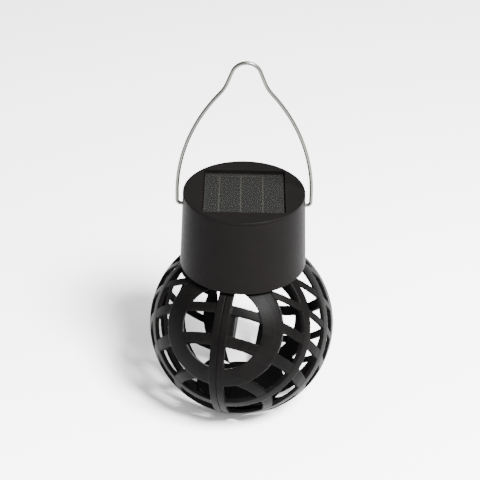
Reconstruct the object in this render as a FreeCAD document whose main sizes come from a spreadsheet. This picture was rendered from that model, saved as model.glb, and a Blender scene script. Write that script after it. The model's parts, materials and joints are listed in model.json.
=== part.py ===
import FreeCAD, Part
import math
import os
import re

import Sketcher

V = FreeCAD.Vector

# Driving dimensions in millimetres and degrees.  The light stands on z = 0, its
# front is -Y and its left is -X.
SIZES = (
    # ball of two moulded halves
    ("ball_z", 60.0, "height of the ball centre"),
    ("first_r", 63.0, "outer radius, bands about the first pole"),
    ("first_inner", 60.6, "inner radius, bands about the first pole"),
    ("second_r", 62.85, "outer radius, bands about the second pole"),
    ("second_inner", 60.75, "inner radius, bands about the second pole"),
    ("ring_r", 63.1, "outer radius of the two pole rings"),
    ("ring_inner", 58.9, "inner radius of the two pole rings"),
    ("strip_r", 63.3, "outer radius of the seam strip"),
    ("strip_inner", 60.4, "inner radius of the seam strip"),
    ("strip_w", 4.9, "width of the seam strip on one half"),
    ("seam_gap", 0.06, "half of the joint line between the halves"),
    ("tongue_r", 61.7, "outer radius of the tongue behind the joint line"),
    ("tongue_w", 1.4, "reach of the tongue past the joint line"),
    ("tongue_fit", 0.1, "clearance round the tongue"),
    ("tongue_high", 57.0, "upper end of the front tongue"),
    ("tongue_low", -64.0, "lower end of the front tongue"),
    ("tongue_rear_high", 123.0, "upper end of the rear tongue"),
    ("tongue_rear_low", 182.0, "lower end of the rear tongue"),
    ("seam_turn", 15.0, "turn of the seam away from the front"),
    ("first_el", 30.2, "rise of the first pole"),
    ("second_el", -30.5, "rise of the second pole"),
    ("window_low", -64.0, "lower edge of the rear window"),
    ("window_high", -3.0, "upper edge of the rear window"),
    ("window_turn", 33.0, "width of the rear window"),
    ("lug_low", 24.0, "lower end of the locating lug"),
    ("lug_high", 40.0, "upper end of the locating lug"),
    ("lug_inner", 51.0, "inner radius of the locating lug"),
    ("lug_w", 8.5, "width of the locating lug"),
    ("floor_t", 3.2, "thickness of the closed floor"),
    ("mouth_up", 52.0, "height of the mouth above the ball centre"),
    ("neck_r", 35.0, "outer radius of the neck"),
    ("neck_inner", 32.6, "inner radius of the neck"),
    ("neck_up", 60.9, "top of the neck above the ball centre"),
    ("band_r", 36.6, "outer radius of the neck band"),
    ("band_inner", 35.05, "inner radius of the neck band"),
    ("band_low", 114.5, "lower edge of the neck band"),
    ("band_high", 119.5, "upper edge of the neck band"),
    ("plate_r", 30.8, "radius of the base plate"),
    ("plate_low", 10.0, "underside of the base plate"),
    ("plate_t", 1.5, "thickness of the base plate"),
    ("notch_x", 13.8, "depth line of the rear notch in the base plate"),
    ("notch_left", -22.0, "left side of the rear notch"),
    ("notch_right", 5.0, "right side of the rear notch"),
    ("base_screw_at", 8.5, "base screw offset both ways"),
    ("base_post_r", 3.2, "radius of the base plate posts"),
    # fasteners
    ("screw_r", 1.1, "screw shank radius"),
    ("pilot_r", 1.13, "screw pilot radius"),
    ("clear_r", 1.4, "screw clearance radius"),
    ("head_r", 2.3, "screw head radius"),
    ("head_t", 1.6, "screw head height"),
    ("sink_r", 2.7, "counterbore radius"),
    ("sink_t", 1.8, "counterbore depth"),
    # cap
    ("cap_low", 112.0, "bottom edge of the cap"),
    ("cap_low_r", 42.0, "sleeve radius at the bottom"),
    ("cap_top_r", 40.0, "sleeve radius at the top"),
    ("sleeve_top", 163.05, "top edge of the sleeve"),
    ("sleeve_t", 1.8, "sleeve wall"),
    ("rib_low", 119.2, "underside of the rib in the sleeve"),
    ("rib_high", 120.95, "top of the rib in the sleeve"),
    ("rib_inner", 38.5, "inner radius of the rib"),
    ("pivot_z", 155.0, "height of the bail pivot"),
    ("pivot_hole_r", 1.3, "radius of the bail holes"),
    ("lid_top", 165.0, "top of the lid"),
    ("lid_under", 163.3, "underside of the lid flange"),
    ("lid_round", 0.8, "rounding of the lid edge"),
    ("plug_r", 38.0, "radius of the lid plug"),
    ("plug_low", 158.9, "underside of the lid plug"),
    ("recess_w", 53.5, "width of the panel recess"),
    ("recess_round", 0.8, "corner radius of the panel recess"),
    ("recess_floor", 160.9, "floor of the panel recess"),
    ("lead_hole_r", 1.6, "radius of the lead hole"),
    ("lead_y", -12.0, "lead hole offset"),
    ("post_r", 3.0, "radius of the lid posts"),
    ("post_at", 34.5, "radius of the post circle"),
    ("post_low", 124.05, "lower end of the lid posts"),
    ("pilot_depth", 9.0, "depth of the pilot holes"),
    # panel
    ("pad_w", 48.0, "width of the adhesive pad"),
    ("pad_t", 0.4, "thickness of the adhesive pad"),
    ("board_w", 52.0, "width of the panel board"),
    ("board_t", 1.0, "thickness of the panel board"),
    ("cell_reach", 25.2, "outer edge of the strip cells"),
    ("split_left", -16.3, "left split between cells"),
    ("split_middle", -2.2, "middle split between cells"),
    ("split_right", 12.2, "right split between cells"),
    ("split_half", 0.3, "half of the gap between cells"),
    ("cell_long", 48.6, "length of one strip cell"),
    ("cell_t", 0.2, "thickness of the cells"),
    ("ribbon_w", 0.4, "half width of a ribbon"),
    ("ribbon_t", 0.06, "thickness of a ribbon"),
    ("cross_y", 22.6, "place of the cross ribbon"),
    ("window_w", 52.8, "width of the clear window"),
    ("window_t", 0.5, "thickness of the clear window"),
    ("window_pocket_w", 51.4, "width of the pocket under the window"),
    ("window_pocket_t", 0.32, "depth of the pocket under the window"),
    # bail
    ("wire_r", 1.2, "radius of the bail wire"),
    ("end_x", 36.5, "inner end of the bail"),
    ("leg_x", 43.7, "offset of the bail legs"),
    ("bend_r", 2.5, "bend at the bail end"),
    ("leg_up", 8.0, "straight leg above the pivot"),
    ("sweep_r", 110.0, "radius of the long curve"),
    ("turn_r", 24.0, "radius of the reverse curve"),
    ("flank_lean", 21.5, "lean of the straight flank below the arch"),
    ("arch_r", 9.4, "radius of the hanging arch"),
    ("arch_up", 101.8, "arch apex above the pivot"),
    ("clip_x", 36.9, "inner face of the clips"),
    ("clip_t", 0.8, "thickness of the clips"),
    ("clip_r", 2.6, "radius of the clips"),
    ("clip_hole_r", 1.22, "hole radius of the clips"),
    # carrier
    ("deck_low", 121.0, "underside of the carrier deck"),
    ("deck_high", 124.0, "top of the carrier deck"),
    ("deck_r", 39.3, "radius of the carrier deck"),
    ("groove_r", 38.0, "bottom radius of the seal groove"),
    ("groove_half", 0.75, "half width of the seal groove"),
    ("seal_at", 39.0, "radius of the seal ring"),
    ("seal_r", 0.65, "section radius of the seal ring"),
    ("spigot_r", 32.3, "outer radius of the spigot"),
    ("spigot_inner", 31.1, "inner radius of the spigot"),
    ("spigot_low", 113.0, "lower end of the spigot"),
    ("bay_y", 11.0, "middle line of the battery bay"),
    ("bay_half_x", 24.6, "half length inside the bay"),
    ("bay_half_y", 6.0, "half width inside the bay"),
    ("bay_wall", 1.5, "wall of the battery bay"),
    ("bay_high", 132.6, "inside top of the battery bay"),
    ("roof_half_x", 19.0, "half length of the bay roof"),
    ("hatch_half_x", 22.65, "half length of the battery opening"),
    ("hatch_half_y", 5.8, "half width of the battery opening"),
    # battery, contacts, door
    ("can_r", 5.15, "radius of the cell can"),
    ("wrap_r", 5.25, "radius of the cell sleeve"),
    ("can_half", 21.8, "half length of the cell can"),
    ("cell_z", 126.6, "height of the cell"),
    ("nub_r", 1.9, "radius of the positive nub"),
    ("nub_t", 0.8, "height of the positive nub"),
    ("contact_x", 22.7, "inner face of the contact plate"),
    ("contact_t", 0.35, "thickness of the contacts"),
    ("contact_half", 4.0, "half width of the contacts"),
    ("contact_low", 124.1, "lower end of the contacts"),
    ("contact_high", 134.3, "upper end of the contacts"),
    ("coil_r", 2.0, "radius of the contact spring"),
    ("coil_wire_r", 0.3, "wire radius of the contact spring"),
    ("coil_long", 1.75, "length of the contact spring"),
    ("coil_pitch", 0.8, "pitch of the contact spring"),
    ("hinge_y", 18.6, "hinge line of the battery door"),
    ("hinge_z", 119.4, "height of the hinge line"),
    ("barrel_r", 1.3, "radius of the hinge barrel"),
    ("barrel_half", 15.8, "half length of the hinge barrel"),
    ("hinge_lug_half", 20.0, "outer face of the hinge lugs"),
    ("hinge_lug_in", 16.2, "inner face of the hinge lugs"),
    ("pin_r", 0.6, "radius of the hinge pin"),
    ("pin_hole_r", 0.65, "radius of the pin hole"),
    ("door_half_x", 23.6, "half length of the door"),
    ("door_front", 4.0, "front edge of the door"),
    ("door_low", 118.6, "underside of the door"),
    ("door_high", 120.2, "top of the door"),
    ("lip_high", 121.1, "top of the door lip"),
    ("lip_gap", 0.5, "clearance round the door lip"),
    # lamp
    ("lamp_y", -7.0, "place of the lamp"),
    ("bulb_r", 2.5, "radius of the lamp dome"),
    ("bulb_low", 118.9, "centre of the lamp dome"),
    ("bulb_hole_r", 2.6, "lamp hole in the deck"),
    ("bulb_flange_r", 2.9, "radius of the lamp flange"),
    ("bulb_flange_t", 1.0, "height of the lamp flange"),
    ("leg_at", 1.27, "offset of the lamp legs"),
    ("leg_r", 0.25, "radius of the lamp legs"),
    ("leg_top", 131.9, "upper end of the lamp legs"),
    ("cone_top_r", 3.1, "inner radius of the reflector at the top"),
    ("cone_low_r", 7.9, "inner radius of the reflector at the bottom"),
    ("cone_low", 113.6, "lower edge of the reflector"),
    ("cone_t", 0.6, "wall of the reflector"),
    ("collar_r", 10.2, "outer radius of the lamp collar"),
    ("collar_inner", 8.8, "inner radius of the lamp collar"),
    ("collar_low", 112.2, "lower end of the lamp collar"),
    ("lens_r", 8.7, "radius of the lamp lens"),
    ("lens_low", 112.2, "underside of the lamp lens"),
    ("lens_t", 1.2, "thickness of the lamp lens"),
    # switch
    ("switch_y", -21.0, "place of the switch"),
    ("switch_half_x", 4.5, "half length of the switch body"),
    ("switch_half_y", 2.0, "half width of the switch body"),
    ("switch_high", 127.7, "top of the switch body"),
    ("track_half_x", 3.1, "half length of the slider track"),
    ("track_half_y", 1.4, "half width of the slider track"),
    ("track_high", 125.8, "top of the slider track"),
    ("shoe_half_x", 1.8, "half length of the slider shoe"),
    ("shoe_half_y", 1.2, "half width of the slider shoe"),
    ("shoe_low", 124.15, "underside of the slider shoe"),
    ("shoe_high", 125.3, "top of the slider shoe"),
    ("knob_half_x", 1.0, "half length of the knob"),
    ("knob_half_y", 0.7, "half width of the knob"),
    ("knob_low", 119.9, "lower end of the knob"),
    ("knob_rest", -1.0, "place of the knob when off"),
    ("slot_half_x", 2.3, "half length of the knob slot"),
    ("slot_half_y", 0.95, "half width of the knob slot"),
    # circuit board
    ("pcb_low", 130.0, "underside of the circuit board"),
    ("pcb_t", 1.2, "thickness of the circuit board"),
    ("pcb_half_x", 17.0, "half length of the circuit board"),
    ("pcb_front", -24.0, "front edge of the circuit board"),
    ("pcb_back", 2.0, "rear edge of the circuit board"),
    ("pcb_post_r", 2.2, "radius of the board posts"),
    ("pcb_post_x", 13.0, "board post offset"),
    ("pcb_post_front", -20.0, "front board posts"),
    ("pcb_post_back", -2.0, "rear board posts"),
    # leads
    ("lead_r", 0.5, "radius of the leads"),
    ("lead_bend", 2.0, "bend radius of the leads"),
    ("lead_gap", 0.8, "lead offset in the lead hole"),
    ("panel_lead_x", 7.0, "panel lead on the circuit board"),
    ("panel_lead_turn", 140.0, "height of the panel lead turn"),
    ("cell_lead_x", 15.2, "battery lead on the circuit board"),
    ("cell_lead_y", -11.0, "battery lead on the circuit board"),
    ("cell_lead_turn", 138.0, "height of the battery lead turn"),
)

# Bands about the two poles: middle angle from the pole and half width, degrees.
FIRST_BANDS = ((56.8, 2.8), (76.8, 3.3), (90.2, 2.9), (104.1, 2.75), (120.6, 3.3))
SECOND_BANDS = ((29.8, 3.1), (54.6, 3.3), (73.3, 2.7), (89.7, 1.95), (105.3, 2.1), (123.8, 2.95))
POLE_RINGS = ((31.45, 6.35), (148.2, 6.1))
SPLITS = ("split_left", "split_middle", "split_right")

doc = FreeCAD.newDocument("SolarGardenLight")
dims = doc.addObject("Spreadsheet::Sheet", "Dims")
names = set()
parts = []


def put(row, alias, size, note):
    """Write one named size into the sheet."""
    dims.set(f"A{row}", note)
    dims.set(f"B{row}", str(size))
    dims.setAlias(f"B{row}", alias)
    names.add(alias)


def fill_sheet():
    """Write every size, and the band angles under names of their own."""
    rows = list(SIZES)
    groups = (("first_band", FIRST_BANDS), ("second_band", SECOND_BANDS), ("pole_ring", POLE_RINGS))
    for group, bands in groups:
        for letter, (middle, half) in zip("abcdef", bands):
            rows.append((f"{group}_{letter}_at", middle, "band angle from the pole"))
            rows.append((f"{group}_{letter}_half", half, "band half width"))
    for row, (alias, size, note) in enumerate(rows, start=1):
        put(row, alias, size, note)
    doc.recompute()


def sheet(expr):
    """The expression with each size name pointing at the sheet."""
    return re.sub(r"[a-z][a-z_]*", lambda m: "Dims." + m[0] if m[0] in names else m[0], str(expr))


def value(expr):
    """Present value of an expression, worked out by the sheet."""
    dims.set("D1", "=" + str(expr))
    dims.recompute()
    return float(dims.get("D1"))


def bind(obj, prop, expr):
    obj.setExpression(prop, sheet(expr))


def new_body(label, x="0", y="0", z="0", turn="0"):
    """A body with its own placement; the turn is about the upright axis."""
    body = doc.addObject("PartDesign::Body", label)
    body.Label = label
    body.AllowCompound = True
    body.Placement = FreeCAD.Placement(V(0, 0, 0), FreeCAD.Rotation(V(0, 0, 1), value(turn)))
    bind(body, "Placement.Base.x", x)
    bind(body, "Placement.Base.y", y)
    bind(body, "Placement.Base.z", z)
    if turn != "0":
        bind(body, "Placement.Rotation.Angle", turn)
    parts.append(body)
    return body


def new_sketch(body, name, role="XY_Plane", offset="0"):
    """A sketch on one of the body's own planes, moved along its normal."""
    sk = body.newObject("Sketcher::SketchObject", name)
    plane = next(f for f in body.Origin.OriginFeatures if f.Role == role)
    sk.AttachmentSupport = [(plane, "")]
    sk.MapMode = "FlatFace"
    if offset != "0":
        sk.AttachmentOffset = FreeCAD.Placement(V(0, 0, value(offset)), FreeCAD.Rotation())
        bind(sk, "AttachmentOffset.Base.z", offset)
    return sk


def constrain(sk, fixed, driven):
    """Add plain constraints, then the ones whose datum comes from the sheet."""
    sk.addConstraint([Sketcher.Constraint(*c) for c in fixed])
    made = sk.addConstraint([Sketcher.Constraint(*c[:-1], value(c[-1])) for c in driven if c[-1] != "0"])
    for index, c in zip(made, [c for c in driven if c[-1] != "0"]):
        datum = f"({sheet(c[-1])}) * 1 deg" if c[0] == "Angle" else f"({sheet(c[-1])}) * 1 mm"
        sk.setExpression(f"Constraints[{index}]", datum)


def place_point(geo, pos, x, y):
    """Constraints that hold one point at two expressions."""
    held = (("DistanceX", -1, 1, geo, pos, x), ("DistanceY", -1, 1, geo, pos, y))
    on_axis = {"DistanceX": -2, "DistanceY": -1}
    driven = [c for c in held if c[-1] != "0"]
    fixed = [("PointOnObject", geo, pos, on_axis[c[0]]) for c in held if c[-1] == "0"]
    return fixed, driven


def polygon(sk, corners):
    """Closed outline through corners given as pairs of expressions."""
    points = [V(value(x), value(y), 0) for x, y in corners]
    count = len(points)
    first = sk.GeometryCount
    sk.addGeometry([Part.LineSegment(points[i], points[(i + 1) % count]) for i in range(count)], False)
    fixed = [("Coincident", first + i, 2, first + (i + 1) % count, 1) for i in range(count)]
    driven = []
    for i, (x, y) in enumerate(corners):
        more_fixed, more_driven = place_point(first + i, 1, x, y)
        fixed += more_fixed
        driven += more_driven
    constrain(sk, fixed, driven)


def rectangle(sk, x_low, x_high, y_low, y_high):
    polygon(sk, ((x_low, y_low), (x_high, y_low), (x_high, y_high), (x_low, y_high)))


def circle(sk, x, y, r):
    geo = sk.GeometryCount
    sk.addGeometry([Part.Circle(V(value(x), value(y), 0), V(0, 0, 1), value(r))], False)
    fixed, driven = place_point(geo, 3, x, y)
    constrain(sk, fixed, driven + [("Radius", geo, r)])


def sector(sk, inner, outer, low, high):
    """Closed ring sector about the sketch origin between two angles."""
    start, end = math.radians(value(low)), math.radians(value(high))
    rays = [V(math.cos(a), math.sin(a), 0) for a in (start, end)]
    radii = [value(inner), value(outer)]
    geo = sk.GeometryCount
    arcs = [Part.ArcOfCircle(Part.Circle(V(0, 0, 0), V(0, 0, 1), r), start, end) for r in radii]
    sides = [Part.LineSegment(ray * radii[0], ray * radii[1]) for ray in rays]
    sk.addGeometry(arcs + sides, False)
    fixed = [("Coincident", geo + a, 3, -1, 1) for a in (0, 1)]
    for arc, side_end in ((0, 1), (1, 2)):
        fixed.append(("Coincident", geo + arc, 1, geo + 2, side_end))
        fixed.append(("Coincident", geo + arc, 2, geo + 3, side_end))
    fixed += [("PointOnObject", -1, 1, geo + side) for side in (2, 3)]
    driven = [("Radius", geo, inner), ("Radius", geo + 1, outer)]
    driven += [("Angle", geo + 2, low), ("Angle", geo + 3, high)]
    constrain(sk, fixed, driven)


def pole_line(sk, rise):
    """Construction line through the origin that rises by an angle; the turning axis."""
    a = math.radians(value(rise))
    sk.addGeometry([Part.LineSegment(V(0, 0, 0), V(20 * math.cos(a), 20 * math.sin(a), 0))], True)
    fixed = [("Coincident", 0, 1, -1, 1), ("Distance", 0, 20.0)]
    constrain(sk, fixed, [("Angle", 0, rise)])


def turned(body, sk, name, axis="V_Axis", angle="360", other_way=False, cut=False):
    """Revolution of a sketch, or a groove when it cuts."""
    feature = body.newObject("PartDesign::Groove" if cut else "PartDesign::Revolution", name)
    feature.Profile = sk
    feature.ReferenceAxis = (sk, [axis])
    feature.Reversed = other_way
    bind(feature, "Angle", angle)
    return feature


def pushed(body, sk, name, length, other_way=False, both=False, cut=False):
    """Pad of a sketch, or a pocket when it cuts."""
    feature = body.newObject("PartDesign::Pocket" if cut else "PartDesign::Pad", name)
    feature.Profile = sk
    feature.Reversed = other_way
    feature.SideType = "Symmetric" if both else "One side"
    bind(feature, "Length", length)
    return feature


def block(body, name, box, low, high, cut=False):
    """Upright block between two heights: (x low, x high, y low, y high)."""
    sk = new_sketch(body, name + "Outline", offset=low)
    rectangle(sk, *box)
    return pushed(body, sk, name, f"({high}) - ({low})", other_way=cut, cut=cut)


def rods(body, name, places, r, low, high, cut=False):
    """Upright round rods or holes between two heights."""
    sk = new_sketch(body, name + "Outline", offset=low)
    for x, y in places:
        circle(sk, x, y, r)
    return pushed(body, sk, name, f"({high}) - ({low})", other_way=cut, cut=cut)


def lathe(body, name, corners, cut=False):
    """Ring or disc turned about the body's upright axis."""
    sk = new_sketch(body, name + "Outline", "XZ_Plane")
    polygon(sk, corners)
    return turned(body, sk, name, cut=cut)


def rounded_route(points, radius):
    """Straight runs joined by tangent arcs, as one wire."""
    edges = []
    start = points[0]
    for before, corner, after in zip(points, points[1:], points[2:]):
        back = (before - corner).normalize()
        ahead = (after - corner).normalize()
        reach = radius / math.tan(back.getAngle(ahead) / 2)
        middle = (back + ahead).normalize()
        centre_gap = radius / math.sin(back.getAngle(ahead) / 2)
        enter, leave = corner + back * reach, corner + ahead * reach
        edges.append(Part.LineSegment(start, enter).toShape())
        edges.append(Part.Arc(enter, corner + middle * (centre_gap - radius), leave).toShape())
        start = leave
    edges.append(Part.LineSegment(start, points[-1]).toShape())
    return Part.Wire(edges)


def lead(label, route):
    """Round lead swept along a rounded route; corners are expression triples."""
    points = [V(value(x), value(y), value(z)) for x, y, z in route]
    path = rounded_route(points, value("lead_bend"))
    start = Part.Circle(points[0], points[1] - points[0], value("lead_r")).toShape()
    wire = doc.addObject("Part::Feature", label)
    wire.Label = label
    wire.Shape = path.makePipeShell([Part.Wire(start)], True, True)
    wire.Placement = FreeCAD.Placement()
    parts.append(wire)


def screws(label, places, head_low, head_high, shank_low, shank_high, **placement):
    body = new_body(label, **placement)
    rods(body, "Heads", places, "head_r", head_low, head_high)
    rods(body, "Shanks", places, "screw_r", shank_low, shank_high)


# ---------------------------------------------------------------- ball

BALL = {"z": "ball_z", "turn": "-90 - seam_turn"}
BASE_PLACES = [(f"{i} * base_screw_at", f"{j} * base_screw_at") for i in (-1, 1) for j in (-1, 1)]


def band_points(rise, edge, inner, outer, square):
    """Inner and outer corner of one band side, square to the pole line or along it."""
    sign = "" if value(edge) < 90 else "-"
    if square:
        inner_a = outer_a = f"({outer} * cos({edge}))"
        outer_b = f"({outer} * sin({edge}))"
        inner_b = f"sqrt({inner} ^ 2 - {inner_a} ^ 2)"
    else:
        inner_b = outer_b = f"({outer} * sin({edge}))"
        outer_a = f"({outer} * cos({edge}))"
        inner_a = f"({sign}sqrt({inner} ^ 2 - {inner_b} ^ 2))"
    pairs = ((inner_a, inner_b), (outer_a, outer_b))
    return [(f"{a} * cos({rise}) - {b} * sin({rise})", f"{a} * sin({rise}) + {b} * cos({rise})")
            for a, b in pairs]


def band_outline(sk, rise, middle, half, inner, outer):
    """Section of one band: two arcs about the ball centre joined by straight sides."""
    square = 45 < value(middle) < 135
    edges = (f"({middle} - {half})", f"({middle} + {half})")
    corners = [band_points(rise, edge, inner, outer, square) for edge in edges]
    points = [[V(value(x), value(y), 0) for x, y in side] for side in corners]
    geo = sk.GeometryCount
    arcs = []
    for k in (0, 1):
        start, end = (math.atan2(side[k].y, side[k].x) for side in points)
        full = Part.Circle(V(0, 0, 0), V(0, 0, 1), points[0][k].Length)
        arcs.append(Part.ArcOfCircle(full, start, end if end > start else end + 2 * math.pi))
    sk.addGeometry(arcs + [Part.LineSegment(*side) for side in points], False)
    fixed = [("Coincident", geo + k, 3, -1, 1) for k in (0, 1)]
    driven = [("Radius", geo, inner), ("Radius", geo + 1, outer)]
    for k in (0, 1):
        for side in (0, 1):
            fixed.append(("Coincident", geo + k, side + 1, geo + 2 + side, k + 1))
            point, (x, y) = points[side][k], corners[side][k]
            steep = abs(point.y) > abs(point.x)
            driven.append(("DistanceX" if steep else "DistanceY", -1, 1, geo + 2 + side, k + 1,
                           x if steep else y))
    constrain(sk, fixed, driven)


def bands(body, name, rise, group, count, inner, outer):
    """Bands that run all round one pole."""
    sk = new_sketch(body, name + "Outline", "XZ_Plane")
    pole_line(sk, rise)
    for letter in "abcdef"[:count]:
        band_outline(sk, rise, f"{group}_{letter}_at", f"{group}_{letter}_half", inner, outer)
    turned(body, sk, name, "Axis0")


def trim(body, name, low, high):
    """Cut everything of a half between two heights."""
    sk = new_sketch(body, name + "Outline", "XZ_Plane")
    rectangle(sk, "-2 * ball_z", "2 * ball_z", low, high)
    pushed(body, sk, name, "4 * ball_z", both=True, cut=True)


def floor_and_neck(body):
    """Closed floor below, open neck with a shoulder above."""
    sk = new_sketch(body, "FloorOutline", "XZ_Plane")
    top = "floor_t - ball_z"
    rim = "sqrt((second_r - 0.05) ^ 2 - ({0}) ^ 2)"
    mid = "floor_t / 2 - ball_z"
    polygon(sk, (("0", "-ball_z"), (rim.format("ball_z"), "-ball_z"), (rim.format(mid), mid),
                 (rim.format(top), top), ("0", top)))
    turned(body, sk, "Floor")
    sk = new_sketch(body, "NeckOutline", "XZ_Plane")
    polygon(sk, (("neck_inner", "neck_up"), ("neck_r", "neck_up"), ("neck_r", "mouth_up"),
                 (rim.format("mouth_up - 0.5"), "mouth_up - 0.5"),
                 (rim.format("mouth_up - 1.7"), "mouth_up - 1.7"),
                 ("neck_inner + 2.6", "mouth_up - 3.1"), ("neck_inner", "mouth_up - 1.5")))
    turned(body, sk, "Neck")


def lug(body):
    """Locating lug inside the ball beside the front seam."""
    sk = new_sketch(body, "LugOutline", "XZ_Plane")
    sector(sk, "lug_inner", "first_inner + 0.4", "lug_low", "lug_high")
    pushed(body, sk, "Lug", "lug_w", other_way=True)


def rear_window(body):
    """Opening at the rear, from the seam round to one side."""
    sk = new_sketch(body, "WindowOutline", "XZ_Plane")
    sector(sk, "ball_z - 8", "ball_z + 8", "180 - window_high", "180 - window_low")
    turned(body, sk, "Window", angle="window_turn", cut=True)


def keep_side(body, right):
    """Cut the whole ball back to one side of the joint line."""
    sk = new_sketch(body, "SeamOutline", "XZ_Plane", "-seam_gap" if right else "seam_gap")
    rectangle(sk, "-2 * ball_z", "2 * ball_z", "-2 * ball_z", "2 * ball_z")
    pushed(body, sk, "Seam", "2 * ball_z", other_way=right, cut=True)


def joint_lap(body, right):
    """Tongue on the right half, or the rebate it enters on the left half."""
    name = "Tongue" if right else "Rebate"
    slack = 0 if right else 0.3
    sk = new_sketch(body, name + "Outline", "XZ_Plane")
    inner = "strip_inner" if right else "strip_inner - 1"
    outer = "tongue_r" if right else "tongue_r + tongue_fit"
    sector(sk, inner, outer, f"tongue_low - {slack}", f"tongue_high + {slack}")
    sector(sk, inner, outer, f"tongue_rear_high - {slack}", f"tongue_rear_low + {slack}")
    reach = "tongue_w" if right else "tongue_w + tongue_fit"
    pushed(body, sk, name, f"2 * ({reach})", both=True, cut=not right)


def cage_half(label, right):
    """One moulded half of the ball; the right one carries the locating lug."""
    body = new_body(label, **BALL)
    sk = new_sketch(body, "StripOutline", "XZ_Plane")
    circle(sk, "0", "0", "strip_r")
    circle(sk, "0", "0", "strip_inner")
    pushed(body, sk, "Strip", "2 * strip_w", both=True)
    bands(body, "FirstBands", "first_el", "first_band", len(FIRST_BANDS), "first_inner", "first_r")
    bands(body, "SecondBands", "second_el", "second_band", len(SECOND_BANDS), "second_inner", "second_r")
    bands(body, "PoleRings", "first_el", "pole_ring", len(POLE_RINGS), "ring_inner", "ring_r")
    trim(body, "MouthCut", "mouth_up", "2 * ball_z")
    trim(body, "FootCut", "-2 * ball_z", "-ball_z")
    if right:
        lug(body)
    else:
        rear_window(body)
    floor_and_neck(body)
    side = "base_screw_at" if right else "-base_screw_at"
    places = [("base_screw_at", side), ("-base_screw_at", side)]
    rods(body, "FloorHoles", places, "clear_r", "-ball_z - 1", "floor_t - ball_z + 1", cut=True)
    rods(body, "FloorSinks", places, "sink_r", "-ball_z - 1", "sink_t - ball_z", cut=True)
    keep_side(body, right)
    joint_lap(body, right)


def ball_fittings():
    """Neck band, floor plate and the screws that tie the halves together."""
    band = new_body("neck_band")
    lathe(band, "Band", (("band_inner", "band_low"), ("band_r", "band_low"), ("band_r", "band_high"),
                         ("band_inner", "band_high")))
    plate = new_body("base_plate", turn="-90 - seam_turn")
    rods(plate, "Disc", [("0", "0")], "plate_r", "plate_low", "plate_low + plate_t")
    rods(plate, "Posts", BASE_PLACES, "base_post_r", "floor_t + 0.05", "plate_low + 0.1")
    rods(plate, "Pilots", BASE_PLACES, "pilot_r", "floor_t - 1", "plate_low + plate_t + 1", cut=True)
    block(plate, "RearNotch", ("-2 * plate_r", "-notch_x", "notch_left", "notch_right"), "plate_low - 1",
          "plate_low + plate_t + 1", cut=True)
    screws("base_screws", BASE_PLACES, "sink_t - head_t", "sink_t", "sink_t", "plate_low + plate_t",
           turn="-90 - seam_turn")


# ---------------------------------------------------------------- cap

POST_ANGLES = (90, 210, 330)
POST_PLACES = [(f"post_at * cos({a})", f"post_at * sin({a})") for a in POST_ANGLES]


def sleeve():
    """Tapered wall of the cap with the rib that carries the deck and two bail holes."""
    body = new_body("cap_sleeve")
    slope = "(cap_low_r - cap_top_r) / (sleeve_top - cap_low)"
    radius = "(cap_low_r - ({0} - cap_low) * " + slope + ")"
    inner = radius + " - sleeve_t"
    lathe(body, "Wall", (
        (inner.format("cap_low"), "cap_low"), ("cap_low_r", "cap_low"), ("cap_top_r", "sleeve_top"),
        ("cap_top_r - sleeve_t", "sleeve_top"), (inner.format("rib_high"), "rib_high"),
        ("rib_inner", "rib_high"), ("rib_inner", "rib_low + 1"), (inner.format("rib_low"), "rib_low")))
    sk = new_sketch(body, "PivotOutline", "YZ_Plane")
    circle(sk, "0", "pivot_z", "pivot_hole_r")
    pushed(body, sk, "PivotHoles", "4 * cap_low_r", both=True, cut=True)


def lid():
    """Lid with the square recess, the plug that enters the sleeve and three posts."""
    body = new_body("cap_top")
    disc = lathe(body, "Disc", (("0", "plug_low"), ("plug_r", "plug_low"), ("plug_r", "lid_under"),
                                ("cap_top_r", "lid_under"), ("cap_top_r", "lid_top"), ("0", "lid_top")))
    doc.recompute()
    rim = [f"Edge{i}" for i, e in enumerate(disc.Shape.Edges, start=1)
           if e.BoundBox.ZMin > value("lid_top") - 0.01 and e.Length > 10]
    edge = body.newObject("PartDesign::Fillet", "RimRound")
    edge.Base = (disc, rim)
    bind(edge, "Radius", "lid_round")
    body.Tip = edge
    half = "recess_w / 2"
    recess = block(body, "Recess", ("-" + half, half, "-" + half, half), "recess_floor", "lid_top + 1",
                   cut=True)
    doc.recompute()
    reach = value(half)
    corners = [f"Edge{i}" for i, e in enumerate(recess.Shape.Edges, start=1)
               if abs(abs(e.CenterOfMass.x) - reach) < 0.01 and abs(abs(e.CenterOfMass.y) - reach) < 0.01]
    soft = body.newObject("PartDesign::Fillet", "RecessRound")
    soft.Base = (recess, corners)
    bind(soft, "Radius", "recess_round")
    body.Tip = soft
    rods(body, "Posts", POST_PLACES, "post_r", "post_low", "plug_low + 0.5")
    rods(body, "Pilots", POST_PLACES, "pilot_r", "post_low - 1", "post_low + pilot_depth", cut=True)
    rods(body, "LeadHole", [("0", "lead_y")], "lead_hole_r", "plug_low - 1", "recess_floor + 1", cut=True)


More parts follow.
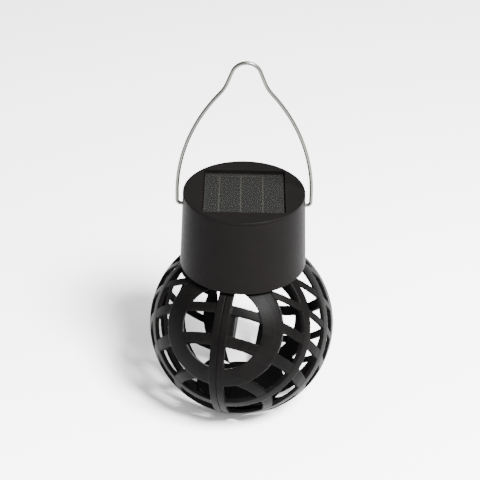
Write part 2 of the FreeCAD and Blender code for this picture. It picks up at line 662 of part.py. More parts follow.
def panel():
    """Pad, board, four strip cells, ribbons and clear window, from the bottom up."""
    pad = new_body("panel_pad")
    block(pad, "Sheet", ("-pad_w / 2", "pad_w / 2", "-pad_w / 2", "pad_w / 2"), "recess_floor",
          "recess_floor + pad_t")
    rods(pad, "LeadHole", [("0", "lead_y")], "lead_hole_r", "recess_floor - 1", "recess_floor + 1", cut=True)
    board_low = "recess_floor + pad_t"
    face = board_low + " + board_t"
    board = new_body("panel_board")
    block(board, "Sheet", ("-board_w / 2", "board_w / 2", "-board_w / 2", "board_w / 2"), board_low, face)
    cells = new_body("solar_cells")
    sk = new_sketch(cells, "CellOutline", offset=face)
    lefts = ["-cell_reach"] + [f"{split} + split_half" for split in SPLITS]
    rights = [f"{split} - split_half" for split in SPLITS] + ["cell_reach"]
    for left, right in zip(lefts, rights):
        rectangle(sk, left, right, "-cell_long / 2", "cell_long / 2")
    pushed(cells, sk, "Cells", "cell_t")
    ribbons = new_body("cell_ribbons")
    sk = new_sketch(ribbons, "RibbonOutline", offset=face + " + cell_t")
    ribbon_outline(sk)
    pushed(ribbons, sk, "Ribbons", "ribbon_t")
    window = new_body("panel_window")
    block(window, "Sheet", ("-window_w / 2", "window_w / 2", "-window_w / 2", "window_w / 2"), face,
          face + " + window_t")
    half = "window_pocket_w / 2"
    block(window, "Pocket", ("-" + half, half, "-" + half, half), face + " - 1", face + " + window_pocket_t",
          cut=True)


def ribbon_outline(sk):
    """Comb of three long ribbons joined by one cross ribbon, as a single outline."""
    low, high = "-cell_long / 2 + 1", "cross_y + 2 * ribbon_w"
    wide = "cell_reach - 1"
    corners = [("-(" + wide + ")", "cross_y")]
    for split in SPLITS:
        left, right = f"{split} - ribbon_w", f"{split} + ribbon_w"
        corners += [(left, "cross_y"), (left, low), (right, low), (right, "cross_y")]
    corners += [(wide, "cross_y"), (wide, high), ("-(" + wide + ")", high)]
    polygon(sk, corners)


def bail_points():
    """Centres of the bail's curves and the points where they meet."""
    sweep, turn, arch = value("sweep_r"), value("turn_r"), value("arch_r")
    lean = math.radians(value("flank_lean"))
    far = V(value("leg_x") - sweep, value("leg_up"), 0)
    arch_mid = V(0, value("arch_up") - arch, 0)
    out = V(math.cos(lean), math.sin(lean), 0)
    down = V(out.y, -out.x, 0)
    gap = arch_mid + out * (arch + turn) - far
    along = gap.dot(down)
    run = -along - math.sqrt(along ** 2 - gap.dot(gap) + (sweep + turn) ** 2)
    turn_mid = far + gap + down * run
    join = far + (turn_mid - far).normalize() * sweep
    return far, arch_mid, turn_mid, join, turn_mid - out * turn, arch_mid + out * arch


def bail():
    """Wire bail: half of it swept along tangent runs, then mirrored."""
    body = new_body("bail_wire", z="pivot_z")
    sk = new_sketch(body, "BailRoute", "XZ_Plane")
    far, arch_mid, turn_mid, join, flank_low, flank_high = bail_points()
    end, leg, bend = value("end_x"), value("leg_x"), value("bend_r")
    diagonal = bend * math.sqrt(0.5)
    sk.addGeometry([
        Part.LineSegment(V(end, 0, 0), V(leg - bend, 0, 0)),
        Part.Arc(V(leg - bend, 0, 0), V(leg - bend + diagonal, bend - diagonal, 0), V(leg, bend, 0)),
        Part.LineSegment(V(leg, bend, 0), V(leg, far.y, 0)),
        arc_between(far, value("sweep_r"), V(leg, far.y, 0), join),
        arc_between(turn_mid, value("turn_r"), join, flank_low),
        Part.LineSegment(flank_low, flank_high),
        arc_between(arch_mid, value("arch_r"), flank_high, V(0, value("arch_up"), 0)),
    ], False)
    tie_bail(sk)
    mouth = new_sketch(body, "WireOutline", "YZ_Plane", "end_x")
    circle(mouth, "0", "0", "wire_r")
    pipe = body.newObject("PartDesign::AdditivePipe", "Wire")
    pipe.Profile = mouth
    pipe.Spine = sk
    half = body.newObject("PartDesign::Mirrored", "OtherSide")
    half.Originals = [pipe]
    half.MirrorPlane = (next(f for f in body.Origin.OriginFeatures if f.Role == "YZ_Plane"), [""])
    body.Tip = half


def arc_between(middle, radius, one, two):
    """The short arc about a middle point from one point to another."""
    angles = [math.atan2(p.y - middle.y, p.x - middle.x) for p in (one, two)]
    low, high = min(angles), max(angles)
    if high - low > math.pi:
        low, high = high, low + 2 * math.pi
    return Part.ArcOfCircle(Part.Circle(middle, V(0, 0, 1), radius), low, high)


def tie_bail(sk):
    """Tangent joints and sheet sizes of the bail route."""
    def end_near(geo, point):
        return min((1, 2), key=lambda pos: sk.getPoint(geo, pos).distanceToPoint(point))

    fixed = [("Horizontal", 0), ("Vertical", 2), ("PointOnObject", 0, 1, -1)]
    for geo in range(6):
        gaps = {(a, b): sk.getPoint(geo, a).distanceToPoint(sk.getPoint(geo + 1, b))
                for a in (1, 2) for b in (1, 2)}
        one, two = min(gaps, key=gaps.get)
        fixed.append(("Tangent", geo, one, geo + 1, two))
    apex = end_near(6, V(0, value("arch_up"), 0))
    fixed += [("PointOnObject", 6, apex, -2), ("PointOnObject", 6, 3, -2)]
    driven = [("DistanceX", -1, 1, 0, 1, "end_x"), ("DistanceX", -1, 1, 2, 2, "leg_x"),
              ("DistanceY", -1, 1, 2, 2, "leg_up"), ("DistanceY", -1, 1, 6, apex, "arch_up"),
              ("Radius", 1, "bend_r"), ("Radius", 3, "sweep_r"), ("Radius", 4, "turn_r"),
              ("Angle", 5, "90 + flank_lean"), ("Radius", 6, "arch_r")]
    constrain(sk, fixed, driven)


def clips():
    """Push-on clips inside the sleeve, one on each bail end."""
    body = new_body("bail_clips", z="pivot_z")
    for name, start in (("LeftClip", "-clip_x - clip_t"), ("RightClip", "clip_x")):
        sk = new_sketch(body, name + "Outline", "YZ_Plane", start)
        circle(sk, "0", "0", "clip_r")
        circle(sk, "0", "0", "clip_hole_r")
        pushed(body, sk, name, "clip_t")


# ---------------------------------------------------------------- carrier and works

BAY = ("-bay_half_x", "bay_half_x", "bay_y - bay_half_y", "bay_y + bay_half_y")
PCB_PLACES = [(f"{i} * pcb_post_x", y) for i in (-1, 1) for y in ("pcb_post_front", "pcb_post_back")]


def carrier():
    """Deck that closes the cap, with spigot, battery bay, lamp collar and posts."""
    body = new_body("carrier")
    middle = "(deck_low + deck_high) / 2"
    lathe(body, "Deck", (("0", "deck_low"), ("spigot_inner", "deck_low"), ("spigot_inner", "spigot_low"),
                         ("spigot_r", "spigot_low"), ("spigot_r", "deck_low"), ("deck_r", "deck_low"),
                         ("deck_r", middle + " - groove_half"), ("groove_r", middle + " - groove_half"),
                         ("groove_r", middle + " + groove_half"), ("deck_r", middle + " + groove_half"),
                         ("deck_r", "deck_high"), ("0", "deck_high")))
    outer = ("-bay_half_x - bay_wall", "bay_half_x + bay_wall", "bay_y - bay_half_y - bay_wall",
             "bay_y + bay_half_y + bay_wall")
    block(body, "BayWalls", outer, "deck_high - 0.5", "bay_high + bay_wall")
    block(body, "BayRoom", BAY, "deck_high", "bay_high", cut=True)
    ends = (("LeftEnd", "-bay_half_x", "-roof_half_x"), ("RightEnd", "roof_half_x", "bay_half_x"))
    for name, low, high in ends:
        block(body, name, (low, high, BAY[2], BAY[3]), "bay_high - 1", "bay_high + 3", cut=True)
    block(body, "Hatch", ("-hatch_half_x", "hatch_half_x", "bay_y - hatch_half_y", "bay_y + hatch_half_y"),
          "deck_low - 1", "deck_high + 1", cut=True)
    rods(body, "Collar", [("0", "lamp_y")], "collar_r", "collar_low", "deck_low + 0.5")
    rods(body, "CollarRoom", [("0", "lamp_y")], "collar_inner", "collar_low - 1", "deck_low", cut=True)
    rods(body, "LampHole", [("0", "lamp_y")], "bulb_hole_r", "deck_low - 1", "deck_high + 1", cut=True)
    block(body, "KnobSlot", ("-slot_half_x", "slot_half_x", "switch_y - slot_half_y",
                             "switch_y + slot_half_y"), "deck_low - 1", "deck_high + 1", cut=True)
    rods(body, "BoardPosts", PCB_PLACES, "pcb_post_r", "deck_high - 0.5", "pcb_low")
    rods(body, "BoardPilots", PCB_PLACES, "pilot_r", "deck_high + 1", "pcb_low + 1", cut=True)
    rods(body, "PostHoles", POST_PLACES, "clear_r", "deck_low - 1", "deck_high + 1", cut=True)
    rods(body, "PostSinks", POST_PLACES, "sink_r", "deck_low - 1", "deck_low + sink_t", cut=True)
    for name, low in (("LeftLug", "-hinge_lug_half"), ("RightLug", "hinge_lug_in")):
        sk = new_sketch(body, name + "Outline", "YZ_Plane", low)
        rectangle(sk, "hinge_y - barrel_r", "hinge_y + barrel_r", "hinge_z - barrel_r", "deck_low + 0.5")
        pushed(body, sk, name, "hinge_lug_half - hinge_lug_in")
    sk = new_sketch(body, "PinOutline", "YZ_Plane")
    circle(sk, "hinge_y", "hinge_z", "pin_hole_r")
    pushed(body, sk, "PinHoles", "2 * hinge_lug_half + 4", both=True, cut=True)


def carrier_fittings():
    """Seal ring round the deck and the screws into the lid posts."""
    ring = doc.addObject("Part::Torus", "carrier_seal")
    ring.Label = "carrier_seal"
    bind(ring, "Radius1", "seal_at")
    bind(ring, "Radius2", "seal_r")
    bind(ring, "Placement.Base.z", "(deck_low + deck_high) / 2")
    parts.append(ring)
    screws("carrier_screws", POST_PLACES, "deck_low + sink_t - head_t", "deck_low + sink_t",
           "deck_low + sink_t", "post_low + pilot_depth - 1")


def battery():
    """Steel can with a nub, its printed sleeve, and the two contacts."""
    can = new_body("battery_cell", y="bay_y", z="cell_z")
    sk = new_sketch(can, "CanOutline", "XZ_Plane")
    polygon(sk, (("-can_half", "0"), ("-can_half", "can_r"), ("can_half", "can_r"), ("can_half", "nub_r"),
                 ("can_half + nub_t", "nub_r"), ("can_half + nub_t", "0")))
    turned(can, sk, "Can", axis="H_Axis")
    wrap = new_body("battery_wrap", y="bay_y", z="cell_z")
    sk = new_sketch(wrap, "WrapOutline", "XZ_Plane")
    rectangle(sk, "-can_half + 0.3", "can_half - 0.3", "can_r + 0.01", "wrap_r")
    turned(wrap, sk, "Wrap", axis="H_Axis")
    plate = new_body("contact_plate", y="bay_y")
    block(plate, "Plate", ("contact_x", "contact_x + contact_t", "-contact_half", "contact_half"),
          "contact_low", "bay_high")
    block(plate, "Tab", ("contact_x", "contact_x + contact_t", "-contact_half / 2", "contact_half / 2"),
          "bay_high - 0.5", "contact_high")
    contact_spring()


def contact_spring():
    """Backing plate with a coil that presses on the cell; coil axis along X."""
    back = value("-bay_half_x + 0.1")
    thick, half = value("contact_t"), value("contact_half")
    low, high = value("contact_low"), value("contact_high")
    y, z = value("bay_y"), value("cell_z")
    plate = Part.makeBox(thick, 2 * half, high - low, V(back, y - half, low))
    radius, wire_r = value("coil_r"), value("coil_wire_r")
    helix = Part.makeHelix(value("coil_pitch"), value("coil_long"), radius)
    start = Part.Circle(V(radius, 0, 0), V(0, 1, 0), wire_r).toShape()
    coil = Part.Wire(helix.Edges).makePipeShell([Part.Wire(start)], True, True)
    coil.Placement = FreeCAD.Placement(V(back + thick + 0.2, y, z), FreeCAD.Rotation(V(0, 1, 0), 90))
    node = doc.addObject("Part::Feature", "contact_spring")
    node.Label = "contact_spring"
    node.Shape = plate.fuse(coil)
    node.Placement = FreeCAD.Placement()
    parts.append(node)


def door():
    """Battery door with its hinge barrel, and the pin it turns on."""
    body = new_body("battery_door", y="hinge_y", z="hinge_z")
    front, low, high = "door_front - hinge_y", "door_low - hinge_z", "door_high - hinge_z"
    block(body, "Leaf", ("-door_half_x", "door_half_x", front, "-0.6 - barrel_r"), low, high)
    block(body, "Web", ("-barrel_half", "barrel_half", "-1 - barrel_r", "0"), low, high)
    edge_x = "hatch_half_x - lip_gap"
    edge_y = "hatch_half_y - lip_gap"
    block(body, "Lip", ("-(" + edge_x + ")", edge_x, "bay_y - hinge_y - (" + edge_y + ")",
                        "bay_y - hinge_y + " + edge_y), high, "lip_high - hinge_z")
    for name, r, cut in (("Barrel", "barrel_r", False), ("PinHole", "pin_hole_r", True)):
        sk = new_sketch(body, name + "Outline", "YZ_Plane")
        circle(sk, "0", "0", r)
        pushed(body, sk, name, "2 * barrel_half" if not cut else "3 * barrel_half", both=True, cut=cut)
    pin = new_body("door_pin", y="hinge_y", z="hinge_z")
    sk = new_sketch(pin, "PinOutline", "YZ_Plane")
    circle(sk, "0", "0", "pin_r")
    pushed(pin, sk, "Pin", "2 * hinge_lug_half", both=True)


def board():
    """Circuit board, the parts soldered on it and its four screws."""
    body = new_body("circuit_board")
    top = "pcb_low + pcb_t"
    block(body, "Sheet", ("-pcb_half_x", "pcb_half_x", "pcb_front", "pcb_back"), "pcb_low", top)
    rods(body, "ScrewHoles", PCB_PLACES, "clear_r", "pcb_low - 1", top + " + 1", cut=True)
    legs = [("-leg_at", "lamp_y"), ("leg_at", "lamp_y")]
    rods(body, "LegHoles", legs, "leg_r + 0.1", "pcb_low - 1", top + " + 1", cut=True)
    extras = new_body("board_parts")
    block(extras, "Chip", ("-3", "3", "-17", "-12.5"), top, top + " + 1.6")
    rods(extras, "Coil", [("-11", "-11")], "2.4", top, top + " + 3.2")
    rods(extras, "Capacitor", [("9.5", "-16.5")], "2", top, top + " + 5")
    block(extras, "Resistor", ("3.4", "6.6", "-3.4", "-1.8"), top, top + " + 0.7")
    screws("board_screws", PCB_PLACES, top, top + " + head_t", "deck_high + 1.5", top)


def lamp():
    """Lamp with legs, reflector and lens under the deck."""
    bulb = new_body("led_lamp", y="lamp_y")
    lathe(bulb, "Stem", (("0", "bulb_low"), ("bulb_r", "bulb_low"), ("bulb_r", "deck_high"),
                         ("bulb_flange_r", "deck_high"), ("bulb_flange_r", "deck_high + bulb_flange_t"),
                         ("0", "deck_high + bulb_flange_t")))
    dome = bulb.newObject("PartDesign::AdditiveSphere", "Dome")
    bind(dome, "Radius", "bulb_r")
    bind(dome, "Placement.Base.z", "bulb_low")
    legs = new_body("led_legs", y="lamp_y")
    rods(legs, "Legs", [("-leg_at", "0"), ("leg_at", "0")], "leg_r", "deck_high + bulb_flange_t", "leg_top")
    cone = new_body("led_reflector", y="lamp_y")
    lathe(cone, "Cone", (("cone_low_r", "cone_low"), ("cone_low_r + cone_t", "cone_low"),
                         ("cone_top_r + cone_t", "deck_low - 0.05"), ("cone_top_r", "deck_low - 0.05")))
    lens = new_body("lamp_lens", y="lamp_y")
    lathe(lens, "Disc", (("0", "lens_low"), ("lens_r", "lens_low"), ("lens_r", "lens_low + lens_t"),
                         ("0", "lens_low + lens_t")))


def switch():
    """Slide switch over the deck; the knob reaches down through its slot."""
    body = new_body("switch_body", y="switch_y")
    block(body, "Case", ("-switch_half_x", "switch_half_x", "-switch_half_y", "switch_half_y"),
          "deck_high + 0.02", "switch_high")
    block(body, "Track", ("-track_half_x", "track_half_x", "-track_half_y", "track_half_y"),
          "deck_high - 1", "track_high", cut=True)
    knob = new_body("switch_slider", x="knob_rest", y="switch_y")
    block(knob, "Shoe", ("-shoe_half_x", "shoe_half_x", "-shoe_half_y", "shoe_half_y"), "shoe_low",
          "shoe_high")
    block(knob, "Knob", ("-knob_half_x", "knob_half_x", "-knob_half_y", "knob_half_y"), "knob_low",
          "shoe_low + 0.1")


def leads():
    """Two panel leads through the lid and two battery leads over the bay."""
    board_top = "pcb_low + pcb_t + 0.05"
    panel_low = "recess_floor + pad_t - 0.05"
    for label, s in (("panel_lead_red", 1), ("panel_lead_black", -1)):
        gap, reach = f"{s} * lead_gap", f"{s} * panel_lead_x"
        lead(label, ((gap, "lead_y", panel_low), (gap, "lead_y", "panel_lead_turn"),
                     (reach, "lead_y", "panel_lead_turn"), (reach, "lead_y", board_top)))
    tab = {1: "contact_x + contact_t / 2", -1: "-(bay_half_x - 0.1 - contact_t / 2)"}
    for label, s in (("battery_lead_red", 1), ("battery_lead_black", -1)):
        reach = f"{s} * cell_lead_x"
        lead(label, ((tab[s], "bay_y", "contact_high + 0.05"), (tab[s], "bay_y", "cell_lead_turn"),
                     (tab[s], "cell_lead_y", "cell_lead_turn"), (reach, "cell_lead_y", "cell_lead_turn"),
                     (reach, "cell_lead_y", board_top)))


def build_all():
    fill_sheet()
    cage_half("cage_half_left", right=False)
    cage_half("cage_half_right", right=True)
    for make in (ball_fittings, sleeve, lid, panel, bail, clips, carrier, carrier_fittings, battery, door,
                 board, lamp, switch, leads):
        make()
    doc.recompute()


def write_all():
    """Check every object, then write one STEP file for each sub-part."""
    for obj in doc.Objects:
        if "Invalid" in obj.State or "Error" in obj.State:
            raise RuntimeError(f"{obj.Label} did not build: {obj.State}")
    os.makedirs("parts", exist_ok=True)
    for part in parts:
        if part.Shape.isNull() or not part.Shape.isValid():
            raise RuntimeError(f"{part.Label} has no valid shape")
        part.Shape.exportStep(f"parts/{part.Label}.step")
        print(part.Label, len(part.Shape.Solids), round(part.Shape.Volume, 1))


build_all()
write_all()
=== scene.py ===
import json
import math

import bpy
from mathutils import Matrix, Vector


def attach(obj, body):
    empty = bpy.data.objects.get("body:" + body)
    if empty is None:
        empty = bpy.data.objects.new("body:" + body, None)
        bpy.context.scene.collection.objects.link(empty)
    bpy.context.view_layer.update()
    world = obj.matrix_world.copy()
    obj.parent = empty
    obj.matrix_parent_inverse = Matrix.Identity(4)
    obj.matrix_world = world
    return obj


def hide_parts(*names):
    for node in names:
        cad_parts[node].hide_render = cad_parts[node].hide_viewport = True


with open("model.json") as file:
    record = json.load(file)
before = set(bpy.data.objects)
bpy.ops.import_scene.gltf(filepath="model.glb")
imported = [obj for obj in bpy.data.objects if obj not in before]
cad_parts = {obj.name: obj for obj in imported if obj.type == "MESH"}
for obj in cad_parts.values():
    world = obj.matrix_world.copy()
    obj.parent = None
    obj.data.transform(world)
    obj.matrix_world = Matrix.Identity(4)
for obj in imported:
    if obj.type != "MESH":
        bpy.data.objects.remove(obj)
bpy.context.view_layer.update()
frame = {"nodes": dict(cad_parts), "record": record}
NODES = frame["nodes"]

# The ball as the CAD has it: its seam, and the two poles that its bands run round.
BALL_CENTRE = Vector((0.0, 0.0, 0.060))
SEAM_TURN = math.radians(15.0)
SEAM_HALF_WIDTH = 0.0046
SEAM_FADE = 0.0006
FIRST_POLE = (SEAM_TURN, math.radians(30.2))
SECOND_POLE = (SEAM_TURN, math.radians(-30.5))

# Noise scales are in features for each metre.
STREAK_SCALE = 900.0
GROOVE_SCALE = 1500.0
SCUFF_SCALE = 420.0

CAGE_DARK = (0.0006, 0.00055, 0.00055)
CAGE_LIGHT = (0.0026, 0.0024, 0.0023)
CAP_GREY = (0.0024, 0.0020, 0.0020)
WORKS_GREY = (0.0012, 0.0011, 0.0011)
CELL_DARK = (0.0030, 0.0031, 0.0028)
CELL_LIGHT = (0.0062, 0.0064, 0.0057)

SKIN_VOXEL = 0.00042
SKIN_ROUNDS = 5

FLOOR_HALF = 6.0
FLOOR_GAP = 0.0003
SKY_STRENGTH = 1.3

CAMERA_AT = Vector((-0.00213, -0.84092, 0.66256))
CAMERA_DOWN = math.radians(32.49)
CAMERA_ROLL = math.radians(-1.05)
CAMERA_LENS = 112.5
CAMERA_SENSOR = 36.0


# ---------------------------------------------------------------- materials

class Shader:
    """A node material under construction, with a Principled surface."""

    def __init__(self, name):
        self.material = bpy.data.materials.new(name)
        self.material.use_nodes = True
        self.tree = self.material.node_tree
        self.surface = self.tree.nodes["Principled BSDF"]
        self.place = self.node("ShaderNodeTexCoord").outputs["Object"]

    def node(self, kind, **settings):
        made = self.tree.nodes.new(kind)
        for key, setting in settings.items():
            setattr(made, key, setting)
        return made

    def link(self, source, target):
        self.tree.links.new(source, target)

    def set(self, **values):
        for key, setting in values.items():
            self.surface.inputs[key.replace("_", " ")].default_value = setting

    def noise(self, scale, detail=3.0, rough=0.55, place=None):
        """Cloudy noise; the scale is in features for each metre."""
        made = self.node("ShaderNodeTexNoise")
        made.inputs["Scale"].default_value = scale
        made.inputs["Detail"].default_value = detail
        made.inputs["Roughness"].default_value = rough
        self.link(place or self.place, made.inputs["Vector"])
        return made.outputs["Fac"]

    def range(self, source, low, high, out_low, out_high):
        made = self.node("ShaderNodeMapRange")
        for index, number in enumerate((low, high, out_low, out_high), start=1):
            made.inputs[index].default_value = number
        self.link(source, made.inputs[0])
        return made.outputs[0]

    def math(self, operation, one, two):
        made = self.node("ShaderNodeMath", operation=operation)
        for socket, source in zip(made.inputs, (one, two)):
            if isinstance(source, (int, float)):
                socket.default_value = source
            else:
                self.link(source, socket)
        return made.outputs[0]

    def colours(self, factor, one, two):
        made = self.node("ShaderNodeMix", data_type="RGBA")
        made.inputs[6].default_value = (*one, 1)
        made.inputs[7].default_value = (*two, 1)
        self.link(factor, made.inputs[0])
        self.link(made.outputs[2], self.surface.inputs["Base Color"])
        return made.outputs[2]

    def roughness(self, source):
        self.link(source, self.surface.inputs["Roughness"])

    def bump(self, height, depth, strength=1.0):
        made = self.node("ShaderNodeBump")
        made.inputs["Strength"].default_value = strength
        made.inputs["Distance"].default_value = depth
        self.link(height, made.inputs["Height"])
        self.link(made.outputs["Normal"], self.surface.inputs["Normal"])

    def along(self, azimuth_turn, rise, origin):
        """Distance of a point along a line through the origin that leans by two angles."""
        line = Vector((-math.sin(azimuth_turn) * math.cos(rise),
                       -math.cos(azimuth_turn) * math.cos(rise), math.sin(rise)))
        move = self.node("ShaderNodeVectorMath", operation="SUBTRACT")
        move.inputs[1].default_value = origin
        self.link(self.place, move.inputs[0])
        dot = self.node("ShaderNodeVectorMath", operation="DOT_PRODUCT")
        dot.inputs[1].default_value = line
        self.link(move.outputs[0], dot.inputs[0])
        return dot.outputs["Value"]


def shade(colour, factor):
    return tuple(min(1.0, c * factor) for c in colour)


def plastic(name, colour, rough, grain=2200.0, depth=0.00004, spread=0.16, shine=0.5):
    """Moulded plastic: faint cloudiness, fine grain, scuffs that change the gloss."""
    s = Shader(name)
    s.set(Specular_IOR_Level=shine)
    cloud = s.noise(70.0, 4.0)
    s.colours(cloud, shade(colour, 1 - spread), shade(colour, 1 + spread))
    scuff = s.noise(SCUFF_SCALE, 6.0, 0.7)
    s.roughness(s.range(scuff, 0.3, 0.7, rough - 0.05, rough + 0.07))
    s.bump(s.noise(grain, 2.0), depth)
    return s.material


def cage_plastic():
    """Dark plastic of the ball: soft streaks along the bands, grooves along the seam."""
    s = Shader("cage_plastic")
    s.set(Specular_IOR_Level=0.02)
    streaks = []
    for pole in (FIRST_POLE, SECOND_POLE):
        spot = s.node("ShaderNodeCombineXYZ")
        s.link(s.along(*pole, BALL_CENTRE), spot.inputs[0])
        streaks.append(s.noise(STREAK_SCALE, 3.0, 0.6, place=spot.outputs[0]))
    seam_gap = s.along(SEAM_TURN - math.pi / 2, 0.0, BALL_CENTRE)
    spot = s.node("ShaderNodeCombineXYZ")
    s.link(seam_gap, spot.inputs[1])
    off_seam = s.math("ABSOLUTE", seam_gap, 0.0)
    near = s.range(off_seam, SEAM_HALF_WIDTH, SEAM_HALF_WIDTH + SEAM_FADE, 1.0, 0.0)
    grooves = s.math("MULTIPLY", s.noise(GROOVE_SCALE, 4.0, 0.7, place=spot.outputs[0]), near)
    open_streaks = s.math("MULTIPLY", s.math("ADD", *streaks), s.math("SUBTRACT", 1.0, near))
    both = s.math("ADD", grooves, s.math("MULTIPLY", open_streaks, 0.5))
    dust = s.noise(90.0, 5.0)
    tone = s.math("ADD", s.math("MULTIPLY", both, 0.6), s.math("MULTIPLY", dust, 0.4))
    s.colours(s.range(tone, 0.35, 0.65, 0.0, 1.0), CAGE_DARK, CAGE_LIGHT)
    s.roughness(s.range(both, 0.3, 0.7, 0.36, 0.5))
    grain = s.math("ADD", both, s.math("MULTIPLY", s.noise(1800.0, 2.0), 0.3))
    s.bump(grain, 0.00012)
    return s.material


def metal(name, colour, rough, stretch=(1.0, 1.0, 1.0), scale=1500.0):
    """Drawn or plated metal with fine lines and a little tarnish."""
    s = Shader(name)
    s.set(Metallic=1.0)
    mapped = s.node("ShaderNodeMapping")
    mapped.inputs["Scale"].default_value = stretch
    s.link(s.place, mapped.inputs["Vector"])
    lines = s.noise(scale, 3.0, 0.6, place=mapped.outputs[0])
    tarnish = s.noise(160.0, 5.0)
    s.colours(tarnish, shade(colour, 0.8), shade(colour, 1.08))
    s.roughness(s.range(lines, 0.3, 0.7, rough - 0.06, rough + 0.1))
    s.bump(lines, 0.00002)
    return s.material


def cell_film():
    """Dark strip cells crossed by very fine, barely visible collector lines."""
    s = Shader("cell_film")
    wave = s.node("ShaderNodeTexWave", wave_type="BANDS", bands_direction="Y")
    wave.inputs["Scale"].default_value = 260.0
    wave.inputs["Distortion"].default_value = 0.0
    s.link(s.place, wave.inputs["Vector"])
    s.set(Specular_IOR_Level=0.1)
    lines = s.range(wave.outputs["Fac"], 0.86, 1.0, 0.0, 0.15)
    cloud = s.range(s.noise(60.0, 3.0), 0.3, 0.7, 0.0, 0.25)
    s.colours(s.math("ADD", lines, cloud), CELL_DARK, CELL_LIGHT)
    s.roughness(s.range(s.noise(90.0), 0.3, 0.7, 0.34, 0.42))
    s.bump(s.noise(700.0), 0.000004)
    return s.material


def clear(name, colour, rough, alpha, shine=0.5):
    """Clear moulding; the lower its alpha, the more light goes straight through."""
    s = Shader(name)
    s.set(Alpha=alpha, Specular_IOR_Level=shine)
    s.colours(s.noise(120.0), shade(colour, 0.92), colour)
    s.roughness(s.range(s.noise(150.0, 4.0), 0.3, 0.7, rough, rough + 0.06))
    s.bump(s.noise(300.0), 0.000002)
    return s.material


MATERIALS = {
    "cage_plastic": cage_plastic(),
    "cap_plastic": plastic("cap_plastic", CAP_GREY, 0.42, shine=0.015),
    "works_plastic": plastic("works_plastic", WORKS_GREY, 0.55, shine=0.02),
    "cell_film": cell_film(),
    "ribbon_metal": metal("ribbon_metal", (0.085, 0.080, 0.066), 0.5),
    "clear_cover": clear("clear_cover", (0.010, 0.0102, 0.0095), 0.16, 0.2, shine=0.03),
    "bail_steel": metal("bail_steel", (0.085, 0.082, 0.076), 0.24, (1.0, 1.0, 0.05)),
    "screw_steel": metal("screw_steel", (0.62, 0.62, 0.60), 0.26),
    "pad_foam": plastic("pad_foam", (0.62, 0.60, 0.55), 0.85, 1400.0, 0.0001),
    "board_green": plastic("board_green", (0.03, 0.15, 0.06), 0.36),
    "part_black": plastic("part_black", (0.008, 0.008, 0.008), 0.42, shine=0.3),
    "lead_red": plastic("lead_red", (0.42, 0.02, 0.015), 0.42),
    "lead_black": plastic("lead_black", (0.014, 0.014, 0.014), 0.42),
    "seal_rubber": plastic("seal_rubber", (0.02, 0.02, 0.02), 0.62),
    "battery_steel": metal("battery_steel", (0.60, 0.60, 0.58), 0.24),
    "battery_wrap": plastic("battery_wrap", (0.05, 0.26, 0.09), 0.28),
    "contact_steel": metal("contact_steel", (0.60, 0.59, 0.55), 0.28),
    "lamp_clear": clear("lamp_clear", (0.85, 0.82, 0.66), 0.12, 0.55),
    "reflector_silver": metal("reflector_silver", (0.78, 0.78, 0.78), 0.16),
    "switch_black": plastic("switch_black", (0.02, 0.02, 0.02), 0.32),
}


def dress(obj, slot_name):
    """Give a mesh the one material that stands for a slot of the record."""
    obj.data.materials.clear()
    obj.data.materials.append(MATERIALS[slot_name])


for entry in frame["record"]["subparts"]:
    dress(NODES[entry["node"]], entry["material_slot"])


# ---------------------------------------------------------------- soft-edged skins

def skin(node, name, body, slot_name):
    """Copy of a moulded node with every edge and corner slightly rounded."""
    mesh = NODES[node].data.copy()
    obj = bpy.data.objects.new(name, mesh)
    bpy.context.scene.collection.objects.link(obj)
    remesh = obj.modifiers.new("even", "REMESH")
    remesh.mode = "VOXEL"
    remesh.voxel_size = SKIN_VOXEL
    remesh.use_smooth_shade = True
    soften = obj.modifiers.new("soften", "SMOOTH")
    soften.factor = 0.5
    soften.iterations = SKIN_ROUNDS
    dress(obj, slot_name)
    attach(obj, body)
    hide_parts(node)
    return obj


for side in ("left", "right"):
    skin(f"cage_half_{side}", f"cage_skin_{side}", "cage", "cage_plastic")


# ---------------------------------------------------------------- studio

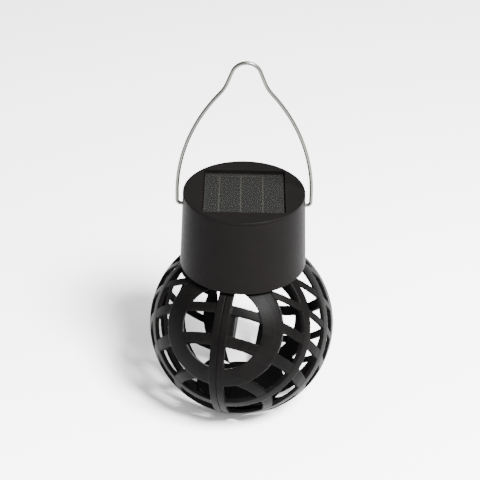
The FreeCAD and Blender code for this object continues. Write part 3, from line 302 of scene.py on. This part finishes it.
def plain_plane(name, half, material):
    mesh = bpy.data.meshes.new(name)
    corners = [(-half, -half, 0), (half, -half, 0), (half, half, 0), (-half, half, 0)]
    mesh.from_pydata(corners, [], [(0, 1, 2, 3)])
    mesh.materials.append(material)
    obj = bpy.data.objects.new(name, mesh)
    bpy.context.scene.collection.objects.link(obj)
    return obj


def floor_paint():
    s = Shader("floor_paint")
    s.colours(s.noise(2.0, 2.0), (0.86, 0.86, 0.86), (0.88, 0.88, 0.88))
    s.set(Roughness=0.9, Specular_IOR_Level=0.1)
    return s.material


floor = plain_plane("floor", FLOOR_HALF, floor_paint())
floor.location.z = -FLOOR_GAP


def soft_light(name, at, aim, size, power):
    data = bpy.data.lights.new(name, "AREA")
    data.shape = "DISK"
    data.size = size
    data.energy = power
    obj = bpy.data.objects.new(name, data)
    obj.location = at
    obj.rotation_mode = "QUATERNION"
    obj.rotation_quaternion = (Vector(aim) - Vector(at)).to_track_quat("-Z", "Y")
    bpy.context.scene.collection.objects.link(obj)
    return obj


soft_light("key", (0.55, -0.72, 1.25), (0.0, 0.0, 0.05), 0.5, 205.0)
soft_light("fill", (1.3, -0.7, 1.0), (0.0, -0.08, 0.0), 1.2, 22.0)

world = bpy.data.worlds.new("studio")
world.use_nodes = True
background = world.node_tree.nodes["Background"]
background.inputs["Color"].default_value = (1.0, 1.0, 1.0, 1.0)
background.inputs["Strength"].default_value = SKY_STRENGTH
bpy.context.scene.world = world

camera_data = bpy.data.cameras.new("camera")
camera_data.lens = CAMERA_LENS
camera_data.sensor_width = CAMERA_SENSOR
camera_data.clip_start = 0.05
camera_data.clip_end = 50.0
camera = bpy.data.objects.new("camera", camera_data)
bpy.context.scene.collection.objects.link(camera)
ahead = Vector((0.0, math.cos(CAMERA_DOWN), -math.sin(CAMERA_DOWN)))
right = Vector((1.0, 0.0, 0.0))
up = right.cross(ahead)
up_rolled = up * math.cos(CAMERA_ROLL) + right * math.sin(CAMERA_ROLL)
right_rolled = right * math.cos(CAMERA_ROLL) - up * math.sin(CAMERA_ROLL)
turn = Matrix((right_rolled, up_rolled, -ahead)).transposed().to_4x4()
camera.matrix_world = Matrix.Translation(CAMERA_AT) @ turn
bpy.context.scene.camera = camera
